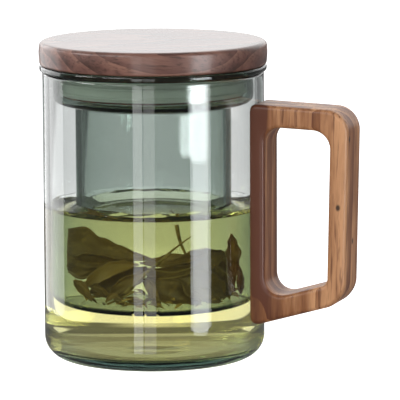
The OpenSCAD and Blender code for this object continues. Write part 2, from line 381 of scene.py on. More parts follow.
bm = bmesh.new()
chord = math.hypot(SLIT_RUN, SLIT_RISE)
away = math.sqrt(SAW_R ** 2 - (chord / 2) ** 2)
saw_x = TUBE_R - SLIT_RUN / 2 + away * SLIT_RISE / chord
saw_z = TUBE_Z + SLIT_RISE / 2 - away * SLIT_RUN / chord
for group in range(SLIT_GROUPS):
    turn = Matrix.Rotation(math.radians(SLIT_TURN + group * 360 / SLIT_GROUPS), 4, "Z")
    for slit in range(SLITS):
        place = Matrix.Translation(Vector((saw_x, (slit - (SLITS - 1) / 2) * SLIT_PITCH, saw_z)) * MM)
        bmesh.ops.create_cone(bm, cap_ends=True, segments=72, radius1=SAW_R * MM, radius2=SAW_R * MM,
                              depth=SLIT_W * MM, matrix=turn @ place @ Matrix.Rotation(math.pi / 2, 4, "X"))
saws = bpy.data.objects.new("saws", bpy.data.meshes.new("saws"))
bm.to_mesh(saws.data)
bm.free()
bpy.context.scene.collection.objects.link(saws)
sawn = infuser.modifiers.new("sawn", "BOOLEAN")
sawn.object = saws
sawn.operation = "DIFFERENCE"
sawn.solver = "EXACT"
bpy.context.view_layer.update()
cut_mesh = bpy.data.meshes.new_from_object(infuser.evaluated_get(bpy.context.evaluated_depsgraph_get()))
infuser.modifiers.clear()
infuser.data = cut_mesh
bpy.data.objects.remove(saws)
shade(infuser)
dress(infuser, infuser_glass)
print("infuser has", len(infuser.data.polygons), "faces after sawing")

# %% [markdown]
# Below the tea's surface the glass has tea on both sides, which bends light much less than air does. A
# path tracer takes every surface to lie in air, so the part of the infuser that hangs in the tea gets a
# second material, with the ratio of the two indices.

# %% Give the wet part of the infuser its own material
infuser.data.materials.append(wet_glass)
for face in infuser.data.polygons:
    if face.center.z / MM < TEA_Z + contact(face.center):
        face.material_index = 1
print(sum(face.material_index for face in infuser.data.polygons), "faces of the infuser are under the tea")

# %% [markdown]
# ## The tea
# The tea is a closed solid that reaches a hair into the cup's wall, because a film of air between the two
# would turn the wall into a mirror. Water climbs a little where it meets glass, and that curved edge, the
# meniscus, draws the dark line round the surface. It climbs the cup's wall and both sides of the infuser.

# %% Spin the tea
OVERLAP = 0.15
MENISCUS_REACH = 3.8
MENISCUS_CURVE = 1.25


def meniscus(wall_r, away, climb):
    """Corners of the tea's surface from a wall out to the level. away is -1 inside the wall and 1 outside."""
    return [(wall_r + away * out, TEA_Z + climb * (1 - out / MENISCUS_REACH) ** MENISCUS_CURVE, 0)
            for out in (0.03, 0.4, 0.8, 1.3, 1.8, 2.3, 2.8, 3.2, 3.5, MENISCUS_REACH)]


bm = bmesh.new()
section(bm, [
    (0, CUP_BASE - OVERLAP, 0), (CUP_IN_R + OVERLAP, CUP_BASE - OVERLAP, CUP_IN_CORNER + OVERLAP),
    (CUP_IN_R + OVERLAP, TEA_Z + CUP_CLIMB, 0), *meniscus(CUP_IN_R, -1, CUP_CLIMB),
    *reversed(meniscus(TUBE_R, 1, TUBE_CLIMB)), (TUBE_R - OVERLAP, TEA_Z + TUBE_CLIMB, 0),
    (TUBE_IN_R + OVERLAP, TEA_Z + IN_CLIMB, 0), *meniscus(TUBE_IN_R, -1, IN_CLIMB), (0, TEA_Z, 0)], steps=24)
spin(bm)
for vert in bm.verts:
    above = vert.co.z / MM - TEA_Z
    if above > 0.001:
        vert.co.z = (TEA_Z + above / climb_near(vert.co) * contact(vert.co)) * MM
tea = new_piece("tea", bm, "cup")
shade(tea)
dress(tea, green_tea)

# %% [markdown]
# ## The tea leaves
# Whole leaves swell in hot water and unroll, so they are thin, broad, curled sheets with a rib down the
# middle. Each is a grid laid along a curved path: s runs along the leaf and w across it, the width follows
# an oval that ends in a point, and the sheet is bent round the path by its curl. A Solidify modifier then
# gives all of them their thickness. Places are given as the viewer sees them: right, nearer, up, in mm.
# Each leaf also carries a tone, which its material reads: above zero it is yellower, below zero it lies in
# the shade of the pile, and that shade is painted into it as a darker colour.

# %% Bend a sheet into a leaf
RAGGED = 0.15


def along_path(path, s):
    """A point on the quadratic Bezier curve with three control points."""
    a, b, c = (Vector(point) for point in path)
    return a * (1 - s) ** 2 + b * 2 * s * (1 - s) + c * s ** 2


def lay_leaf(bm, path, widths, face, curl, ripple, tone, rows=44, columns=16):
    """Adds one leaf to bm. path is its rib, widths its width from end to end in mm, face the way its flat
    side looks, curl its bend in degrees, ripple its unevenness in mm and tone how light it is."""
    made = bmesh.ops.create_grid(bm, x_segments=rows, y_segments=columns, size=1, calc_uvs=True)
    bend = math.radians(curl) / 2
    tones = bm.verts.layers.float["tone"]
    for vert in made["verts"]:
        s = (vert.co.x + 1) / 2
        w = vert.co.y
        rib = along_path(path, s)
        ahead = (along_path(path, min(s + 0.02, 1)) - along_path(path, max(s - 0.02, 0))).normalized()
        side = Vector(face).cross(ahead).normalized()
        up = ahead.cross(side)
        step = min(int(s * (len(widths) - 1)), len(widths) - 2)
        share = s * (len(widths) - 1) - step
        share = share * share * (3 - 2 * share)  # eases from one width to the next
        half = (widths[step] * (1 - share) + widths[step + 1] * share) / 2
        half *= 1 + RAGGED * noise.noise(Vector((s * 7, w * 0.5, widths[1])))
        reach = side * math.sin(w * bend) * half / bend + up * (1 - math.cos(w * bend)) * half / bend
        wobble = up * noise.noise(rib * 0.22 + side * w * 2) * ripple * 2 * (0.3 + abs(w))
        vert.co = seen_place(*(rib + reach + wobble))
        vert[tones] = tone


def thicken(piece, thickness):
    """Gives a sheet its thickness in mm, half of it to each side."""
    sheet = piece.modifiers.new("thickness", "SOLIDIFY")
    sheet.thickness = thickness * MM
    sheet.offset = 0.0
    shade(piece, 60)


print("the middle of a bent rib is at", along_path([(0, 0, 0), (5, 0, 4), (10, 0, 0)], 0.5)[:])

# %% Lay the leaves
LEAVES = [
    # path of the rib, widths, the way the flat side looks, curl, ripple, tone
    ([(-26, 2, 43.5), (-14, 4, 43), (-0.5, 5, 39.6)],
     (15, 18, 12, 7.5, 3.5, 0.8), (0.1, 1, 0.15), 60, 0.5, 0),
    ([(-24, 4, 39), (-17, 6, 39), (-6, 6, 39.2)], (4, 8, 7, 3, 0.5), (0.1, 1, -0.4), 50, 0.5, -0.45),
    ([(-26, 3, 35), (-21, 8, 34.5), (-12, 7, 37.5)], (3, 6.5, 6, 3, 0.3), (0.1, 1, -0.2), 70, 0.5, -0.5),
    ([(-21.5, 9, 29.2), (-15.5, 13, 38), (-4.8, 9, 38.2)], (1, 5.2, 6.2, 5, 1), (0.2, 1, 0.5), 110, 0.3, 0.8),
    ([(-20.5, 7, 26.5), (-11, 9, 30.5), (-2, 6, 36.5)], (1, 7, 9, 8, 2), (0.1, 1, 0.1), 80, 0.4, -0.9),
    ([(-14, 12, 27), (-8, 14, 31), (-3.5, 12, 36)], (1, 5, 6, 4, 1), (0.1, 1, 0.3), 90, 0.5, 0.2),
    ([(-25, 8, 31.5), (-22.5, 11, 28.5), (-19.5, 12, 24.5)],
     (1, 4.2, 4.6, 2.5, 0.3), (0.1, 1, 0.3), 110, 0.5, 0.5),
    ([(-4, 5, 38), (5, 10, 38.5), (16, 5, 41.5)], (0.5, 5, 7, 5, 0.5), (0, 0.8, 0.8), 90, 0.5, -0.2),
    ([(-4, 10, 35.5), (5, 12, 33.5), (15, 8, 37)], (0.5, 5, 7, 6, 1), (0.1, 1, 0.1), 110, 0.4, -0.7),
    ([(-3, 12, 33), (4, 14, 27), (17, 8, 24.5)], (3, 10, 11, 8, 1), (0.1, 1, 0.3), 100, 0.6, -0.8),
    ([(4, 6, 36), (13, 8, 38), (20.5, 3, 41.5)], (1, 8, 11, 9, 3), (0.1, 1, 0.1), 80, 0.5, -0.6),
    ([(8, 12, 33), (15, 10, 31), (22, 7, 24.5)], (2, 11, 13, 10, 2), (0.2, 1, 0.2), 70, 0.6, -0.8),
    ([(0, 5, 33), (8, 6, 31), (18, 4, 30)], (2, 12, 13, 11, 4), (-0.2, 1, 0), 60, 0.6, -0.9),
    ([(15, -4, 41), (19, 0, 36), (23, 2, 25.5)], (3, 9, 9, 8, 3), (0.1, 1, 0.1), 90, 0.6, -0.9),
    ([(18, 6, 37), (21, 7, 32), (23.5, 6, 25)], (2, 5, 6, 5, 1), (0.1, 1, 0.2), 90, 0.6, -0.5),
    ([(12, 15, 29), (17, 14, 27), (21, 12, 23.5)], (1, 5, 6, 4, 1), (0.1, 1, 0.4), 100, 0.5, -0.1),
    ([(-1.8, 15, 33), (-0.5, 17, 27), (1.5, 17, 22.8)], (1, 3.5, 4.5, 4, 1), (0.3, 1, 0.1), 100, 0.5, 0.3),
    ([(-20.5, 13, 29.8), (-17, 16, 30), (-14, 14, 25)], (0.5, 4, 4.4, 3, 0.4), (0, 1, 0.4), 150, 0.5, -0.7),
    ([(-15.5, 16, 24.5), (-13.5, 17, 28.5), (-11.2, 16, 26.6)],
     (0.4, 2, 2.4, 1.6, 0.3), (0, 1, 0.2), 90, 0.3, 0.8),
    ([(-12.8, 16, 27.2), (-11, 18, 25), (-8.8, 17, 23.4)],
     (0.5, 3.4, 3.6, 2, 0.4), (0, 1, 0.2), 120, 0.4, -0.9),
    ([(-9, 16, 26.5), (-6, 18, 25), (-2.5, 17, 24.5)], (0.5, 3, 3.6, 2.4, 0.4), (0, 1, 0.2), 120, 0.4, 0.1),
    ([(24, 1, 32), (23.4, 1, 41), (22.9, 1, 48.4)], (1, 3.2, 5.4, 3.2, 0.3), (0.1, 1, 0), 60, 0.9, 0.1),
    ([(25.6, 1, 24.8), (25.9, 1, 30), (25.2, 1, 36)], (0.5, 2, 2.2, 1.4, 0.3), (0.1, 1, 0), 60, 0.5, -0.6),
]
bm = bmesh.new()
bm.verts.layers.float.new("tone")
for path, widths, face, curl, ripple, tone in LEAVES:
    lay_leaf(bm, path, widths, face, curl, ripple, tone)
leaves = new_piece("tea_leaves", bm, "infuser")
thicken(leaves, 0.35)

# %% [markdown]
# A stem is a bent stalk that gets thinner along its length. A curve with a round bevel makes that at once,
# as each of its points has a radius of its own. The curve is then turned into a mesh.

# %% Bend the stems
STEMS = [
    # points from end to end, each (right, nearer, up, thickness)
    [(-9.2, 14, 27.6, 1.5), (-4, 14, 34, 1.3), (1.5, 14, 39.5, 1.1), (6.5, 13, 45, 0.8),
     (11.6, 12, 49.2, 0.4)],
    [(6.5, 0, 52.4, 1.3), (7, 0, 48, 1.2), (8, 1, 44, 0.9), (9.8, 2, 39.5, 0.8)],
    [(-2, 15, 37.5, 0.8), (4, 15, 35.5, 0.6), (10, 14, 36.5, 0.5), (16, 12, 39, 0.4)],
    [(-15, 15, 23.6, 0.9), (-10, 17, 26.5, 1), (-6, 17, 29, 0.7)],
    [(-13, 18, 25.6, 0.7), (-8, 19, 24.3, 0.8), (-4, 18, 23.4, 0.6)],
    [(22.2, 6, 38.5, 0.3), (22.6, 8, 33, 0.35), (23, 8, 28, 0.3)],
    [(1.5, 15, 33.6, 0.5), (7, 15, 33.4, 0.5), (12.5, 13, 35.6, 0.4)],
    [(-2, 19, 27.5, 0.5), (2, 19, 26, 0.5), (5, 18, 23.5, 0.4)],
]
drawn = bpy.data.curves.new("stems", "CURVE")
drawn.dimensions = "3D"
drawn.bevel_depth = 0.5 * MM
drawn.bevel_resolution = 3
drawn.use_fill_caps = True
for points in STEMS:
    stem = drawn.splines.new("NURBS")
    stem.points.add(len(points) - 1)
    stem.use_endpoint_u = True
    stem.order_u = 3
    for point, (right, nearer, up, thickness) in zip(stem.points, points):
        point.co = (*seen_place(right, nearer, up), 1)
        point.radius = thickness
curve_object = bpy.data.objects.new("stems", drawn)
bpy.context.scene.collection.objects.link(curve_object)
bm = bmesh.new()
bm.from_mesh(curve_object.to_mesh())
bpy.data.objects.remove(curve_object)
stems = new_piece("tea_stems", bm, "infuser")
shade(stems, 60)

# %% [markdown]
# Broken bits collect on the tube's floor, most of them near its front. They are small leaves of their own,
# laid at random from a fixed seed, so that they lie the same way each time.

# %% Scatter the broken bits
BITS = 58
BITS_REACH = 25
BITS_INSIDE = 26.2
BITS_FLOOR = 22.7
chance = random.Random(7)
bm = bmesh.new()
bm.verts.layers.float.new("tone")
for i in range(BITS):
    turn = chance.uniform(-0.45, 1.2) * math.pi
    reach = BITS_REACH * math.sqrt(chance.uniform(0.35, 1))
    height = 22.9 + chance.uniform(0, 1) ** 2 * 4
    spot = Vector((-reach * math.cos(turn), reach * math.sin(turn), height))
    way = Vector((chance.uniform(-1, 1), chance.uniform(-1, 1), chance.uniform(-0.1, 0.5))).normalized()
    length = chance.uniform(2, 6.5)
    ends = [spot, spot + way * length * 0.5 + Vector((0, 0, chance.uniform(0.2, 1.2))), spot + way * length]
    for end in ends:
        end.z = max(end.z, BITS_FLOOR)
        out = math.hypot(end.x, end.y)
        if out > BITS_INSIDE:
            end.x *= BITS_INSIDE / out
            end.y *= BITS_INSIDE / out
    width = chance.uniform(0.8, 2.0)
    lay_leaf(bm, ends, (0.2, width, width * 0.8, 0.2), (0.1, 0.6, 1), 80, 0.05, chance.uniform(0, 1), 8, 4)
bits = new_piece("tea_bits", bm, "infuser")
thicken(bits, 0.3)

# %% [markdown]
# Wet leaf is dark olive brown, yellower along its edges and ribs, where it is thin and light comes through.
# The veins are drawn on the grid's own UV map, so they follow every bend of the leaf: a rib in the middle,
# side veins that slant away from it, and a pale rim. Some light is let through by a Translucent shader.

# %% Make the leaf materials
# the colour of painted shade, mixed into leaves that lie deep in the pile
SHADE = "#0C0B06"
VEINS = 62.0
VEIN_SLANT = -0.35


def vein_lines(tree, uv):
    """How much of a vein is at this place of a leaf, from 0 to 1."""
    split = add_node(tree, "ShaderNodeSeparateXYZ", {0: uv})
    from_rib = add_node(tree, "ShaderNodeMath", {0: split.outputs[1], 1: 0.5}, operation="SUBTRACT")
    across = add_node(tree, "ShaderNodeMath", {0: from_rib.outputs[0]}, operation="ABSOLUTE")
    slant = add_node(tree, "ShaderNodeMath", {0: across.outputs[0], 1: VEIN_SLANT, 2: split.outputs[0]},
                     operation="MULTIPLY_ADD")
    waves = add_node(tree, "ShaderNodeMath", {0: slant.outputs[0], 1: VEINS}, operation="MULTIPLY")
    wave = add_node(tree, "ShaderNodeMath", {0: waves.outputs[0]}, operation="SINE")
    side_veins = add_node(tree, "ShaderNodeMapRange", {
        "Value": wave.outputs[0], "From Min": 0.80, "From Max": 1.0, "To Max": 0.30})
    rib = add_node(tree, "ShaderNodeMapRange", {
        "Value": across.outputs[0], "From Min": 0.05, "From Max": 0.015, "To Max": 0.45})
    rim = add_node(tree, "ShaderNodeMapRange", {
        "Value": across.outputs[0], "From Min": 0.44, "From Max": 0.5, "To Max": 0.6})
    most = add_node(tree, "ShaderNodeMath", {0: side_veins.outputs[0], 1: rib.outputs[0]},
                    operation="MAXIMUM")
    all_lines = add_node(tree, "ShaderNodeMath", {0: most.outputs[0], 1: rim.outputs[0]},
                         operation="MAXIMUM")
    return all_lines.outputs[0]


def leaf_matter(name, deep, middle, edge, veins=True):
    """Soaked leaf: deep and middle colours in patches, edge in flecks and on the rim and the veins."""
    material, output = new_material(name)
    tree = material.node_tree
    where = add_node(tree, "ShaderNodeTexCoord")
    patches = add_node(tree, "ShaderNodeTexNoise", {
        "Vector": where.outputs["Object"], "Scale": 1 / (5 * MM), "Detail": 4.0})
    spread = add_node(tree, "ShaderNodeMapRange", {
        "Value": patches.outputs["Fac"], "From Min": 0.35, "From Max": 0.65})
    plain = add_node(tree, "ShaderNodeMix", {
        0: spread.outputs["Result"], 6: linear(deep), 7: linear(middle)}, data_type="RGBA")
    tone = add_node(tree, "ShaderNodeAttribute", attribute_name="tone")
    base = add_node(tree, "ShaderNodeMix", {
        0: tone.outputs["Fac"], 6: plain.outputs[2], 7: linear(edge)}, data_type="RGBA")
    # a tone below zero mixes in painted shade, for leaves in the shade of the pile
    under_zero = add_node(tree, "ShaderNodeMath", {0: tone.outputs["Fac"], 1: -1.0}, operation="MULTIPLY")
    shadowed = add_node(tree, "ShaderNodeMix", {
        0: under_zero.outputs[0], 6: base.outputs[2], 7: linear(SHADE)}, data_type="RGBA")
    flecks = add_node(tree, "ShaderNodeTexNoise", {
        "Vector": where.outputs["Object"], "Scale": 1 / (1.8 * MM), "Detail": 3.0})
    flecked = add_node(tree, "ShaderNodeMapRange", {
        "Value": flecks.outputs["Fac"], "From Min": 0.54, "From Max": 0.70, "To Max": 0.5})
    light = add_node(tree, "ShaderNodeMix", {
        0: flecked.outputs[0], 6: shadowed.outputs[2], 7: linear(edge)}, data_type="RGBA")
    colour = light.outputs[2]
    if veins:
        lined = add_node(tree, "ShaderNodeMix", {
            0: vein_lines(tree, where.outputs["UV"]), 6: colour, 7: linear(edge)}, data_type="RGBA")
        colour = lined.outputs[2]
    bump = add_node(tree, "ShaderNodeBump", {
        "Height": patches.outputs["Fac"], "Distance": 0.4 * MM, "Strength": 0.6})
    skin = add_node(tree, "ShaderNodeBsdfPrincipled", {
        "Base Color": colour, "Roughness": 0.38, "IOR": 1.45, "Normal": bump.outputs["Normal"]})
    glow = add_node(tree, "ShaderNodeBsdfTranslucent", {"Color": colour, "Normal": bump.outputs["Normal"]})
    both = add_node(tree, "ShaderNodeMixShader", {
        0: 0.3, 1: skin.outputs["BSDF"], 2: glow.outputs["BSDF"]})
    tree.links.new(both.outputs["Shader"], output.inputs["Surface"])
    return material


dress(leaves, leaf_matter("soaked_green_tea_leaf", "#120F08", "#3A2E16", "#B0904A"))
dress(stems, leaf_matter("soaked_tea_stem", "#8A7434", "#B49A50", "#C0A860", veins=False))
dress(bits, leaf_matter("soaked_tea_crumbs", "#2E2410", "#7A6228", "#E0BE60", veins=False))
print("side veins on each half of a leaf:", round(VEINS / (2 * math.pi)))

# %% [markdown]
# ## Walnut
# Walnut is brown with darker growth rings, fine open pores that show as short dark dashes along the grain,
# and a clear satin lacquer. Its figure comes from how the plank was sawn out of the trunk, so the material
# does the same: it measures the distance from the trunk's axis, the pith, which lies far outside the
# piece, bends it with noise, and turns that distance into rings.
# Every noise is squeezed along the grain, which draws its patches out into streaks.

# %% Draw the growth rings
RING_BEND = 9.0
RING_CONTRAST = 0.30


def growth(tree, along, ring):
    """The wood's tone from its growth rings, and the streaks that cloud it. ring is their width in mm."""
    stretched = add_node(tree, "ShaderNodeMapping", {"Vector": along, "Scale": (1, 1, 0.12)})
    drift = add_node(tree, "ShaderNodeTexNoise", {
        "Vector": stretched.outputs["Vector"], "Scale": 1 / (22 * MM), "Detail": 2.0})
    split = add_node(tree, "ShaderNodeSeparateXYZ", {0: along})
    flat = add_node(tree, "ShaderNodeCombineXYZ", {0: split.outputs[0], 1: split.outputs[1]})
    reach = add_node(tree, "ShaderNodeVectorMath", {0: flat.outputs[0]}, operation="LENGTH")
    bend = add_node(tree, "ShaderNodeMath", {
        0: drift.outputs["Fac"], 1: RING_BEND * MM, 2: reach.outputs["Value"]}, operation="MULTIPLY_ADD")
    turns = add_node(tree, "ShaderNodeMath", {0: bend.outputs[0], 1: ring * MM}, operation="DIVIDE")
    rings = add_node(tree, "ShaderNodeMath", {0: turns.outputs[0], 1: 1.0}, operation="FRACT")
    streaks = add_node(tree, "ShaderNodeTexNoise", {
        "Vector": stretched.outputs["Vector"], "Scale": 1 / (7 * MM), "Detail": 4.0, "Roughness": 0.65})
    tone = add_node(tree, "ShaderNodeMath", {
        0: rings.outputs[0], 1: RING_CONTRAST, 2: streaks.outputs["Fac"]}, operation="MULTIPLY_ADD")
    return tone.outputs[0], streaks.outputs["Fac"]


print("rings wander by up to", RING_BEND, "mm")

# %% [markdown]
# The handle's colour carries painted shade and painted light. The spine next to the glass is painted darker,
# as the mug's shade on it, up to a border that runs upright and a little askew, and a band on the face of the
# grip is painted lighter, as the light that falls on it.

# %% Paint shade and light on the handle
LIT_BAND_DEPTH = 66.0
SHADE_BORDER_WANDER = 3.0
SHADE_BORDER_SKEW = 1.2


def paint_spine_shade(tree, place, streaks, tone, shade_depths):
    """Paints the mug's shade on the spine by darkening the tone up to a border, whose near and far depths are
    given, and paints light on the grip's face by lightening a band behind it.
    """
    depth = add_node(tree, "ShaderNodeMath", {0: place.outputs[1], 1: SHADE_BORDER_SKEW, 2: place.outputs[0]},
                     operation="MULTIPLY_ADD")
    wander = add_node(tree, "ShaderNodeMath", {0: streaks, 1: SHADE_BORDER_WANDER * MM, 2: depth.outputs[0]},
                      operation="MULTIPLY_ADD")
    near, far = ((edge + SHADE_BORDER_WANDER / 2) * MM for edge in shade_depths)
    # painted shade: darker up to the border, where the mug shades the spine
    painted_shade = add_node(tree, "ShaderNodeMapRange", {
        "Value": wander.outputs[0], "From Min": near, "From Max": far, "To Min": -0.35, "To Max": 0.0},
        interpolation_type="SMOOTHSTEP")
    off_band = add_node(tree, "ShaderNodeMath", {0: wander.outputs[0], 1: LIT_BAND_DEPTH * MM},
                        operation="SUBTRACT")
    off_band = add_node(tree, "ShaderNodeMath", {0: off_band.outputs[0]}, operation="ABSOLUTE")
    # painted light: a lighter band on the face of the grip, where more light falls
    painted_light = add_node(tree, "ShaderNodeMapRange", {
        "Value": off_band.outputs[0], "From Min": 4 * MM, "From Max": 9 * MM, "To Min": 0.2,
        "To Max": 0.0})
    both = add_node(tree, "ShaderNodeMath", {0: painted_shade.outputs[0], 1: painted_light.outputs[0]})
    return add_node(tree, "ShaderNodeMath", {0: tone, 1: both.outputs[0]}).outputs[0]


print("the palest band lies", LIT_BAND_DEPTH, "mm from the mug's axis")

# %% [markdown]
# Pin knots are small dark dots where thin twigs grew. The lid's top is polished more than its side, which
# the lacquer shows by a stronger coat above a certain height.

# %% Make the walnut material
KNOT = "#1E120C"
POLISHED_COAT = 0.82


def with_knot(tree, place, colour, knot):
    """The colour with a pin knot in it. knot is its place in mm."""
    off = add_node(tree, "ShaderNodeVectorMath", {0: place, 1: tuple(c * MM for c in knot)},
                   operation="SUBTRACT")
    squashed = add_node(tree, "ShaderNodeMapping", {"Vector": off.outputs[0], "Scale": (1, 1, 0.7)})
    near = add_node(tree, "ShaderNodeVectorMath", {0: squashed.outputs[0]}, operation="LENGTH")
    spot = add_node(tree, "ShaderNodeMapRange", {
        "Value": near.outputs["Value"], "From Min": 0.4 * MM, "From Max": 1.2 * MM, "To Min": 0.9,
        "To Max": 0.0}, interpolation_type="SMOOTHSTEP")
    return add_node(tree, "ShaderNodeMix", {
        0: spot.outputs[0], 6: colour, 7: linear(KNOT)}, data_type="RGBA").outputs[2]


def walnut(name, pith, grain_turn, ring, colours, shade_depths=None, knots=(), coat=0.2, polished_above=None):
    """Lacquered walnut. pith is a point on the trunk's axis in mm, grain_turn the turn that lays Z along the
    grain, ring the width of a growth ring in mm, colours the dark, middle and light wood. shade_depths gives
    the depths between which the painted shade on the spine ends, with painted light behind it, knots where
    pin knots are, and polished_above a height in mm."""
    dark, middle, light = (linear(colour) for colour in colours)
    material, output = new_material(name)
    tree = material.node_tree
    where = add_node(tree, "ShaderNodeTexCoord").outputs["Object"]
    along = add_node(tree, "ShaderNodeMapping", {
        "Vector": where, "Location": tuple(c * MM for c in pith), "Rotation": grain_turn},
        vector_type="TEXTURE").outputs["Vector"]
    place = add_node(tree, "ShaderNodeSeparateXYZ", {0: where})
    tone, streaks = growth(tree, along, ring)
    if shade_depths:
        # paints the mug's shade on the spine and light on the grip's face
        tone = paint_spine_shade(tree, place, streaks, tone, shade_depths)
    ramp = add_node(tree, "ShaderNodeValToRGB", {"Fac": tone})
    ramp.color_ramp.elements[0].position = 0.36
    ramp.color_ramp.elements[0].color = dark
    ramp.color_ramp.elements[1].position = 0.92
    ramp.color_ramp.elements[1].color = light
    ramp.color_ramp.elements.new(0.62).color = middle
    fibre_space = add_node(tree, "ShaderNodeMapping", {"Vector": along, "Scale": (1, 1, 0.05)})
    fibres = add_node(tree, "ShaderNodeTexNoise", {
        "Vector": fibre_space.outputs["Vector"], "Scale": 1 / (1.1 * MM), "Detail": 3.0, "Roughness": 0.6})
    pores = add_node(tree, "ShaderNodeMapRange", {
        "Value": fibres.outputs["Fac"], "From Min": 0.52, "From Max": 0.68, "To Max": 0.75})
    colour = add_node(tree, "ShaderNodeMix", {
        0: pores.outputs["Result"], 6: ramp.outputs["Color"], 7: dark}, data_type="RGBA").outputs[2]
    for knot in knots:
        colour = with_knot(tree, where, colour, knot)
    bump = add_node(tree, "ShaderNodeBump", {
        "Height": fibres.outputs["Fac"], "Distance": 0.03 * MM, "Strength": 0.5})
    lacquered = add_node(tree, "ShaderNodeBsdfPrincipled", {
        "Base Color": colour, "Roughness": 0.5, "IOR": 1.5, "Specular IOR Level": 0.3, "Coat Weight": coat,
        "Coat Roughness": 0.18, "Normal": bump.outputs["Normal"]})
    if polished_above:
        polish = add_node(tree, "ShaderNodeMapRange", {
            "Value": place.outputs[2], "From Min": (polished_above - 0.8) * MM,
            "From Max": polished_above * MM, "To Min": coat, "To Max": POLISHED_COAT})
        tree.links.new(polish.outputs[0], lacquered.inputs["Coat Weight"])
    tree.links.new(lacquered.outputs["BSDF"], output.inputs["Surface"])
    return material


# the handle's colour carries painted shade on the spine and painted light on the grip's face
handle_walnut = walnut(
    "lacquered_walnut_upright_grain", (30, 60, -40), (-0.03, 0.02, 0), 7.0, ("#60331F", "#905C38", "#CC966A"),
    shade_depths=(36, 40), knots=((80.4, -5.9, 88.1), (76.8, -9.0, 62.2), (79.6, 0.9, 48.2)))
lid_walnut = walnut(
    "lacquered_walnut_flat_sawn", seen_place(6, -4, 66) / MM, (0.0, math.radians(98), VIEW_TURN), 5.5,
    ("#402820", "#68443A", "#8C6454"), coat=0.40, polished_above=122)
print("nodes in the handle's walnut:", len(handle_walnut.node_tree.nodes))

# %% [markdown]
# ## The lid
# A turned disc of walnut with a plug under it. The side isn't straight: it swells by a third of a
# millimetre between its rounded edges, as a turner leaves it, so a highlight runs along it.

# %% Spin the lid
LID_R = 43.9
LID_Z = FLANGE_TOP + SEAT_PLAY
LID_TOP = 122.3
LID_BULGE = 0.35
LID_BULGE_ROUND = 12.0
LID_TOP_ROUND = 1.8
LID_BOTTOM_ROUND = 0.9
PLUG_R = 34.5
PLUG_Z = 101.3
PLUG_BEVEL = 0.6
GROOVE_R = 32.5
GROOVE_Z = 102.5
GROOVE_TOP = 108.9

bm = bmesh.new()
section(bm, [
    (0, LID_TOP, 0), (LID_R - LID_BULGE, LID_TOP, LID_TOP_ROUND),
    (LID_R, (LID_Z + LID_TOP) / 2, LID_BULGE_ROUND), (LID_R - LID_BULGE, LID_Z, LID_BOTTOM_ROUND),
    (PLUG_R, LID_Z, 0), (PLUG_R, GROOVE_TOP, 0), (GROOVE_R, GROOVE_TOP, 0), (GROOVE_R, GROOVE_Z, 0),
    (PLUG_R, GROOVE_Z, 0), (PLUG_R, PLUG_Z, PLUG_BEVEL), (0, PLUG_Z, 0)])
spin(bm)
lid = new_piece("lid_wood", bm, "lid", "lid")
shade(lid)
dress(lid, lid_walnut)

# %% [markdown]
# ## The gasket
# The seal is a moulded silicone ring that snaps into the plug's groove. Its two lips drag on the glass.
# Silicone lets some light in and scatters it, which gives it its soft milky look.

# %% Spin the gasket
GASKET_R = 35.0
LIP_R = 36.15
LIP_T = 0.9
LIP_PITCH = 3.5
GASKET_GAP = 0.02
mid_z = (GROOVE_Z + GROOVE_TOP) / 2
lip_corners = []
for lip_z in (mid_z - LIP_PITCH / 2, mid_z + LIP_PITCH / 2):
    lip_corners += [(GASKET_R, lip_z - LIP_T / 2, 0.2), (LIP_R, lip_z - LIP_T / 2, 0.4),
                    (LIP_R, lip_z + LIP_T / 2, 0.4), (GASKET_R, lip_z + LIP_T / 2, 0.2)]
bm = bmesh.new()
section(bm, [
    (GROOVE_R + GASKET_GAP, GROOVE_Z + GASKET_GAP, 0), (GASKET_R, GROOVE_Z + GASKET_GAP, 0.3), *lip_corners,
    (GASKET_R, GROOVE_TOP - GASKET_GAP, 0.3), (GROOVE_R + GASKET_GAP, GROOVE_TOP - GASKET_GAP, 0)],
    closed=True, steps=4)
spin(bm)
gasket = new_piece("lid_gasket_silicone", bm, "lid", "lid_gasket")
shade(gasket)

# %% Give it its silicone
silicone, output = new_material("moulded_translucent_silicone")
tree = silicone.node_tree
grain = add_node(tree, "ShaderNodeTexNoise", {"Scale": 1 / (0.6 * MM), "Detail": 2.0})
tree.links.new(add_node(tree, "ShaderNodeTexCoord").outputs["Object"], grain.inputs["Vector"])
matt = add_node(tree, "ShaderNodeMapRange", {"Value": grain.outputs["Fac"], "To Min": 0.25, "To Max": 0.4})
rubbery = add_node(tree, "ShaderNodeBsdfPrincipled", {
    "Base Color": linear("#E6E8DC"), "Roughness": matt.outputs["Result"], "IOR": 1.41,
    "Transmission Weight": 0.35})
tree.links.new(rubbery.outputs["BSDF"], output.inputs["Surface"])
dress(gasket, silicone)
print("the gasket is", silicone.name)

# %% [markdown]
# ## The handle
# One closed loop of walnut. Its back is hollowed to fit the glass, its bottom bar climbs outwards, and a
# router has rounded every long edge. It is drawn flat, as a four-cornered outline round a four-cornered
# gap, each corner with its own radius. The two outlines are bridged into a flat ring, the ring is pulled
# out to the handle's width, the long edges are bevelled, and the back is pressed against a cylinder.

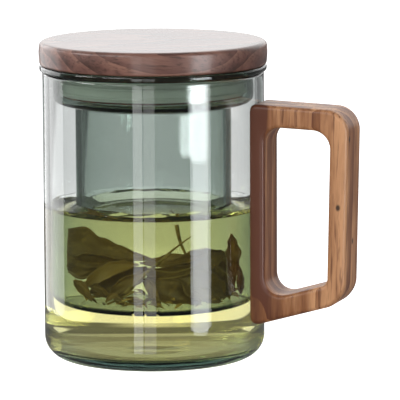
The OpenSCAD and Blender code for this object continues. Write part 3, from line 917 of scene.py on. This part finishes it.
# %% Draw the loop and pull it out
HANDLE_W = 18.0
GLUE_T = 0.3
SEAT_R = CUP_R + GLUE_T
HANDLE_TOP = CUP_H - 10.6
HANDLE_BOTTOM = CUP_CORNER + 6.4
HANDLE_REACH = 37.3
SPINE_T = 4.6
GRIP_X = CUP_R + HANDLE_REACH
GAP_X = SEAT_R + SPINE_T
GRIP_T = 7.1
ARRIS = 1.7
TOP_FALL = math.tan(math.radians(2))
BOTTOM_CLIMB = math.tan(math.radians(16))
GRIP_LEAN = math.tan(math.radians(1.2))
TOP_BAR = 8.3
BOTTOM_BAR = 8.4 / math.cos(math.radians(16))
BACK_X = math.sqrt(SEAT_R ** 2 - (HANDLE_W / 2) ** 2) - ARRIS / 2


def top_at(x):
    """Height of the loop's upper face at a distance from the axis."""
    return HANDLE_TOP - (x - CUP_R) * TOP_FALL


def bottom_at(x):
    """Height of the loop's lower face at a distance from the axis."""
    return HANDLE_BOTTOM + (x - CUP_R) * BOTTOM_CLIMB


def on_grip(x, z, radius):
    """A corner of the grip, which leans in towards the cup at its foot."""
    return x + (z - (HANDLE_TOP + HANDLE_BOTTOM) / 2) * GRIP_LEAN, z, radius


def outline(bm, corners):
    """A closed outline at the handle's near side, each corner (x, z, radius) in mm, and its edges."""
    before = set(bm.edges)
    draw_corners(bm, corners, -HANDLE_W / 2, True, 12)
    return [edge for edge in bm.edges if edge not in before]


gap_grip_x = GRIP_X - GRIP_T
bm = bmesh.new()
rim = outline(bm, [
    (BACK_X, top_at(BACK_X), 3.2), on_grip(GRIP_X, top_at(GRIP_X), 9), on_grip(GRIP_X, bottom_at(GRIP_X), 10),
    (BACK_X, bottom_at(BACK_X), 3.6)])
gap = outline(bm, [
    (GAP_X, top_at(GAP_X) - TOP_BAR, 6), on_grip(gap_grip_x, top_at(gap_grip_x) - TOP_BAR, 7),
    on_grip(gap_grip_x, bottom_at(gap_grip_x) + BOTTOM_BAR, 3), (GAP_X, bottom_at(GAP_X) + BOTTOM_BAR, 7)])
bmesh.ops.bridge_loops(bm, edges=rim + gap)
pulled = bmesh.ops.extrude_face_region(bm, geom=bm.faces[:])
moved = [part for part in pulled["geom"] if isinstance(part, bmesh.types.BMVert)]
bmesh.ops.translate(bm, verts=moved, vec=(0, HANDLE_W * MM, 0))
bmesh.ops.recalc_face_normals(bm, faces=bm.faces[:])
arrises = [edge for edge in bm.edges if edge.is_manifold and edge.calc_face_angle() > math.radians(60)]
bmesh.ops.bevel(bm, geom=arrises, offset=ARRIS * MM, offset_type="OFFSET", segments=6, profile=0.5,
                affect="EDGES", material=-1)
print("the loop has", len(bm.faces), "faces")

# %% [markdown]
# The back is cut into strips along its height. Every point that would lie in the glass or in the glue is
# then moved out to the seat's radius, which hollows the back as a cylindrical cutter would.

# %% Press the back against the glass
SEAT_CUTS = 9
for i in range(SEAT_CUTS):
    cut_y = (i / (SEAT_CUTS - 1) - 0.5) * (HANDLE_W - 2 * ARRIS)
    bmesh.ops.bisect_plane(bm, geom=bm.verts[:] + bm.edges[:] + bm.faces[:], dist=0.001 * MM,
                           plane_co=(0, cut_y * MM, 0), plane_no=(0, 1, 0))
for vert in bm.verts:
    seat_x = math.sqrt((SEAT_R * MM) ** 2 - vert.co.y ** 2)
    vert.co.x = max(vert.co.x, seat_x)
bmesh.ops.recalc_face_normals(bm, faces=bm.faces[:])
handle = new_piece("handle_wood", bm, "cup", "handle")
shade(handle, 30.0)
dress(handle, handle_walnut)

# %% [markdown]
# ## The glue
# The handle is held by a layer of clear glue, 0.3 mm thick, cured between the seat and the glass. The CAD
# node has the right shape, so it only needs a material: nearly clear, and a little yellow.

# %% Dress the glue
glue, output = new_material("clear_cured_glass_adhesive")
tree = glue.node_tree
specks = add_node(tree, "ShaderNodeTexNoise", {"Scale": 1 / (1.5 * MM), "Detail": 2.0})
tree.links.new(add_node(tree, "ShaderNodeTexCoord").outputs["Object"], specks.inputs["Vector"])
haze = add_node(tree, "ShaderNodeMapRange", {"Value": specks.outputs["Fac"], "To Min": 0.2, "To Max": 0.4})
film = add_node(tree, "ShaderNodeBsdfPrincipled", {
    "Base Color": linear("#E6E2CC"), "Roughness": haze.outputs["Result"], "Alpha": 0.25})
tree.links.new(film.outputs["BSDF"], output.inputs["Surface"])
dress(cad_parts["handle_adhesive"], glue)
print("the glue is", glue.name)

# %% [markdown]
# ## The floor and the light
# The floor is white and matt, and keeps the mug's shadow. It is a plain disc, turned so that its own Y
# points away from the viewer, and it lies a hair below the mug.

# %% Lay the floor
FLOOR_R = 2.5
bm = bmesh.new()
bmesh.ops.create_circle(bm, cap_ends=True, segments=96, radius=FLOOR_R)
floor_mesh = bpy.data.meshes.new("floor")
bm.to_mesh(floor_mesh)
bm.free()
floor = bpy.data.objects.new("floor", floor_mesh)
bpy.context.scene.collection.objects.link(floor)
floor.location.z = -0.2 * MM
floor.rotation_euler.z = VIEW_TURN
floor.visible_glossy = False
print("the floor is", 2 * FLOOR_R, "m across")

# %% [markdown]
# A glass in front of white looks white, so its shapes have to be drawn by what is darker behind them. Seen
# through the glass, the floor isn't even: under the mug lies its own shade, with a spot that the tea
# gathers light on, and the lit paper starts four centimetres behind it and is brightest in its middle.
# A path tracer finds light that has been bent by glass very slowly, so that pattern is written into the
# floor's material, and only rays that come through glass see it.

# %% Make its paper
PAPER_STARTS = 84.5
PAPER_CURVE = 10.0
PAPER_LEFT = -190
PAPER_RIGHT = 270
# painted shade: how bright the floor under the mug is towards its back, as rays through the glass see it
UNDER_MUG_SHADE = 0.18
GLOW = 0.70
paper, output = new_material("white_paper_floor")
tree = paper.node_tree
path = add_node(tree, "ShaderNodeLightPath")
matt_paper = add_node(tree, "ShaderNodeBsdfDiffuse", {"Color": linear("#E0E0E0")})
shine = add_node(tree, "ShaderNodeEmission", {
    "Color": (1, 1, 1, 1), "Strength": path.outputs["Is Camera Ray"]})
seen_plain = add_node(tree, "ShaderNodeAddShader", {0: matt_paper.outputs[0], 1: shine.outputs[0]})
on_floor = add_node(tree, "ShaderNodeTexCoord").outputs["Object"]
where = add_node(tree, "ShaderNodeSeparateXYZ", {0: on_floor})


def disc(tree, place, centre, inner, outer, inside, outside):
    """A number that changes from inside to outside between two distances from a centre, in mm."""
    off = add_node(tree, "ShaderNodeVectorMath", {0: place, 1: tuple(c * MM for c in centre)},
                   operation="DISTANCE")
    return add_node(tree, "ShaderNodeMapRange", {
        "Value": off.outputs["Value"], "From Min": inner * MM, "From Max": outer * MM, "To Min": inside,
        "To Max": outside}, interpolation_type="SMOOTHSTEP").outputs[0]


# the lit paper: it starts along a shallow curve and ends at both sides, and its painted light fades with
# the distance and is brightest in a pool in its middle
sideways = add_node(tree, "ShaderNodeMath", {0: where.outputs[0], 1: 2.0}, operation="POWER")
cut_round = add_node(tree, "ShaderNodeMath", {
    0: sideways.outputs[0], 1: -PAPER_CURVE, 2: where.outputs[1]}, operation="MULTIPLY_ADD")
starts = add_node(tree, "ShaderNodeMapRange", {
    "Value": cut_round.outputs[0], "From Min": (PAPER_STARTS - 2) * MM, "From Max": (PAPER_STARTS + 2) * MM},
    interpolation_type="SMOOTHSTEP")
aside = add_node(tree, "ShaderNodeMath", {
    0: where.outputs[0], 1: (PAPER_LEFT + PAPER_RIGHT) / 2 * MM}, operation="SUBTRACT")
aside_far = add_node(tree, "ShaderNodeMath", {0: aside.outputs[0]}, operation="ABSOLUTE")
half = (PAPER_RIGHT - PAPER_LEFT) / 2
ends = add_node(tree, "ShaderNodeMapRange", {
    "Value": aside_far.outputs[0], "From Min": (half - 30) * MM, "From Max": (half + 30) * MM, "To Min": 1.0,
    "To Max": 0.0}, interpolation_type="SMOOTHSTEP")
on_paper = add_node(tree, "ShaderNodeMath", {0: starts.outputs[0], 1: ends.outputs[0]}, operation="MULTIPLY")
fade = add_node(tree, "ShaderNodeMapRange", {
    "Value": where.outputs[1], "From Min": 130 * MM, "From Max": 500 * MM, "To Min": 1.15, "To Max": 0.80})
paper_level = add_node(tree, "ShaderNodeMath", {
    0: fade.outputs[0], 1: disc(tree, on_floor, (0, 225, 0), 20, 70, 1.24, 1.0)}, operation="MULTIPLY")
# painted shade under the mug, with a painted spot of light in it
under_mug_shade = add_node(tree, "ShaderNodeMapRange", {
    "Value": where.outputs[1], "From Min": -10 * MM, "From Max": 50 * MM, "To Min": 0.03, "To Max": UNDER_MUG_SHADE})
under = add_node(tree, "ShaderNodeMix", {
    0: disc(tree, on_floor, (0, 27, 0), 18, 28, 1.0, 0.0), 2: under_mug_shade.outputs[0], 3: GLOW}, data_type="FLOAT")
level = add_node(tree, "ShaderNodeMix", {
    0: on_paper.outputs[0], 2: under.outputs[0], 3: paper_level.outputs[0]}, data_type="FLOAT")
seen_glass = add_node(tree, "ShaderNodeEmission", {"Color": (1, 1, 1, 1), "Strength": level.outputs[0]})
both = add_node(tree, "ShaderNodeMixShader", {
    0: path.outputs["Is Transmission Ray"], 1: seen_plain.outputs[0], 2: seen_glass.outputs[0]})
tree.links.new(both.outputs[0], output.inputs["Surface"])
floor_mesh.materials.append(paper)
print("the paper starts", PAPER_STARTS - CUP_R, "mm behind the cup")

# %% [markdown]
# The world is four things at once, and Light Path says which one a ray meets. The camera sees it white.
# Matt surfaces gather a soft dome from it. Rays through glass see a lit backdrop straight behind the mug
# and a dim room elsewhere. What the glass mirrors is dim as well, so that the edges come out dark, except
# for the part above the horizon behind the mug, which puts a sheen on the lid.

# %% Light it with a dome
DOME = 0.45
ROOM = 0.12
MIRRORED_LOW = 0.22
LID_SHEEN = 1.56
BACKDROP = ((0.24, 0.62), (0.30, 0.58), (0.52, 0.62), (0.66, 0.35), (0.97, 0.10))
world = bpy.data.worlds.new("studio")
bpy.context.scene.world = world
world.use_nodes = True
tree = world.node_tree
tree.nodes.clear()
path = add_node(tree, "ShaderNodeLightPath")
direction = add_node(tree, "ShaderNodeMapping", {
    "Vector": add_node(tree, "ShaderNodeTexCoord").outputs["Generated"], "Rotation": (0, 0, -VIEW_TURN)})
way = add_node(tree, "ShaderNodeSeparateXYZ", {0: direction.outputs["Vector"]})
behind = add_node(tree, "ShaderNodeMapRange", {"Value": way.outputs[1], "From Min": 0.2, "From Max": 0.7})
straight = add_node(tree, "ShaderNodeMapRange", {
    "Value": way.outputs[1], "From Min": 0.58, "From Max": 0.90})
lift = add_node(tree, "ShaderNodeMapRange", {"Value": way.outputs[2], "From Min": -0.3, "From Max": 1.0})
backdrop = add_node(tree, "ShaderNodeValToRGB", {"Fac": lift.outputs[0]})
stops = backdrop.color_ramp.elements
stops[0].position = BACKDROP[0][0]
stops[1].position = BACKDROP[-1][0]
for height, level in BACKDROP[1:-1]:
    stops.new(height)
for stop, (height, level) in zip(stops, BACKDROP):
    stop.color = (level, level, level, 1)
through = add_node(tree, "ShaderNodeMix", {
    0: straight.outputs[0], 2: ROOM, 3: backdrop.outputs["Color"]}, data_type="FLOAT")
above = add_node(tree, "ShaderNodeMapRange", {
    "Value": way.outputs[2], "From Min": -0.02, "From Max": 0.08, "To Min": MIRRORED_LOW,
    "To Max": LID_SHEEN})
mirrored = add_node(tree, "ShaderNodeMix", {
    0: behind.outputs[0], 2: ROOM, 3: above.outputs[0]}, data_type="FLOAT")
bent = add_node(tree, "ShaderNodeMix", {
    0: path.outputs["Is Transmission Ray"], 2: mirrored.outputs[0], 3: through.outputs[0]},
    data_type="FLOAT")
soft = add_node(tree, "ShaderNodeMix", {
    0: path.outputs["Is Diffuse Ray"], 2: bent.outputs[0], 3: DOME}, data_type="FLOAT")
strength = add_node(tree, "ShaderNodeMix", {
    0: path.outputs["Is Camera Ray"], 2: soft.outputs[0], 3: 1.0}, data_type="FLOAT")
sky = add_node(tree, "ShaderNodeBackground", {"Color": (1, 1, 1, 1), "Strength": strength.outputs[0]})
tree.links.new(sky.outputs[0], add_node(tree, "ShaderNodeOutputWorld").inputs["Surface"])
print("the backdrop has", len(stops), "levels")

# %% [markdown]
# Softboxes draw the long highlights on glass. Each is an area lamp given by where it stands round the mug,
# as the viewer sees it, by its size and by how bright its face looks. A lamp's power is worked out from
# that brightness, because the brightness is what the glass mirrors.
# The strip on the right has a second, narrower one in front of it, so that its highlight has soft edges.
# The lamps that light the wood are left out of the reflections, and those that the glass mirrors don't
# light the wood, so that each can be set by itself. Only key_left, high up at the left, does both.

# %% Set up the softboxes
STRIP_TINT = (0.94, 0.98, 1.0)


def softbox(name, turn, distance, low, high, width, brightness, tilt=0.0, mirrored=True, lights=False):
    """A tall softbox that faces the mug. turn is degrees to the right of the viewer, heights and sizes in m.
    It shows as a reflection if it is mirrored, and it falls on matt surfaces if it lights them."""
    data = bpy.data.lights.new(name, "AREA")
    data.shape = "RECTANGLE"
    data.size = width
    data.size_y = high - low
    data.energy = brightness * math.pi * width * (high - low)
    lamp = bpy.data.objects.new(name, data)
    bpy.context.scene.collection.objects.link(lamp)
    spot = around_z @ Matrix.Rotation(math.radians(turn), 4, "Z") @ Vector((0, -distance, (low + high) / 2))
    face = around_z @ Matrix.Rotation(math.radians(turn), 4, "Z") @ Matrix.Rotation(
        math.radians(90 - tilt), 4, "X")
    lamp.matrix_world = Matrix.Translation(spot) @ face
    lamp.visible_camera = False
    lamp.visible_glossy = mirrored
    lamp.visible_transmission = mirrored
    lamp.visible_diffuse = lights
    return lamp


for name, distance, width, brightness in (
        ("strip_right", 0.6, 0.238, 5.6), ("strip_right_core", 0.59, 0.17, 5.2)):
    strip = softbox(name, 48.5, distance, -0.0905, 0.42, width, brightness)
    strip.data.color = STRIP_TINT
for name, turn, width, brightness in (("card_left", -118.5, 0.30, 2.8), ("card_left_far", -143.0, 0.23, 2.0)):
    card = softbox(name, turn, 0.6, -0.088, 0.42, width, brightness)
    card.visible_transmission = False
softbox("high_left", -76, 0.6, 0.25, 0.50, 0.25, 8.0, tilt=30)
softbox("window_pane_1", -15.3, 0.9, -0.25, 0.35, 0.150, 4.3)
softbox("window_pane_2", -3.7, 0.9, -0.25, 0.35, 0.180, 2.3)
softbox("key_left", -38, 0.9, 0.35, 0.95, 0.6, 4.0, tilt=35, lights=True)
softbox("side_left", -76, 0.8, 0.05, 0.50, 0.3, 3.5, mirrored=False, lights=True)
softbox("side_right", 52, 0.8, 0.05, 0.45, 0.3, 2.6, mirrored=False, lights=True)
print("lamps:", len(bpy.data.lights))

# %% [markdown]
# ## Bounces and the end
# A ray that crosses the cup, the tea and the infuser and comes back out meets more than a dozen surfaces,
# so it is allowed more bounces than Blender gives it. The Standard view shows colours as they are written.

# %% Allow enough bounces
scene = bpy.context.scene
scene.view_settings.view_transform = "Standard"
scene.cycles.max_bounces = 24
scene.cycles.transmission_bounces = 24
scene.cycles.glossy_bounces = 12
scene.cycles.transparent_max_bounces = 24
print("a ray may bounce", scene.cycles.max_bounces, "times")
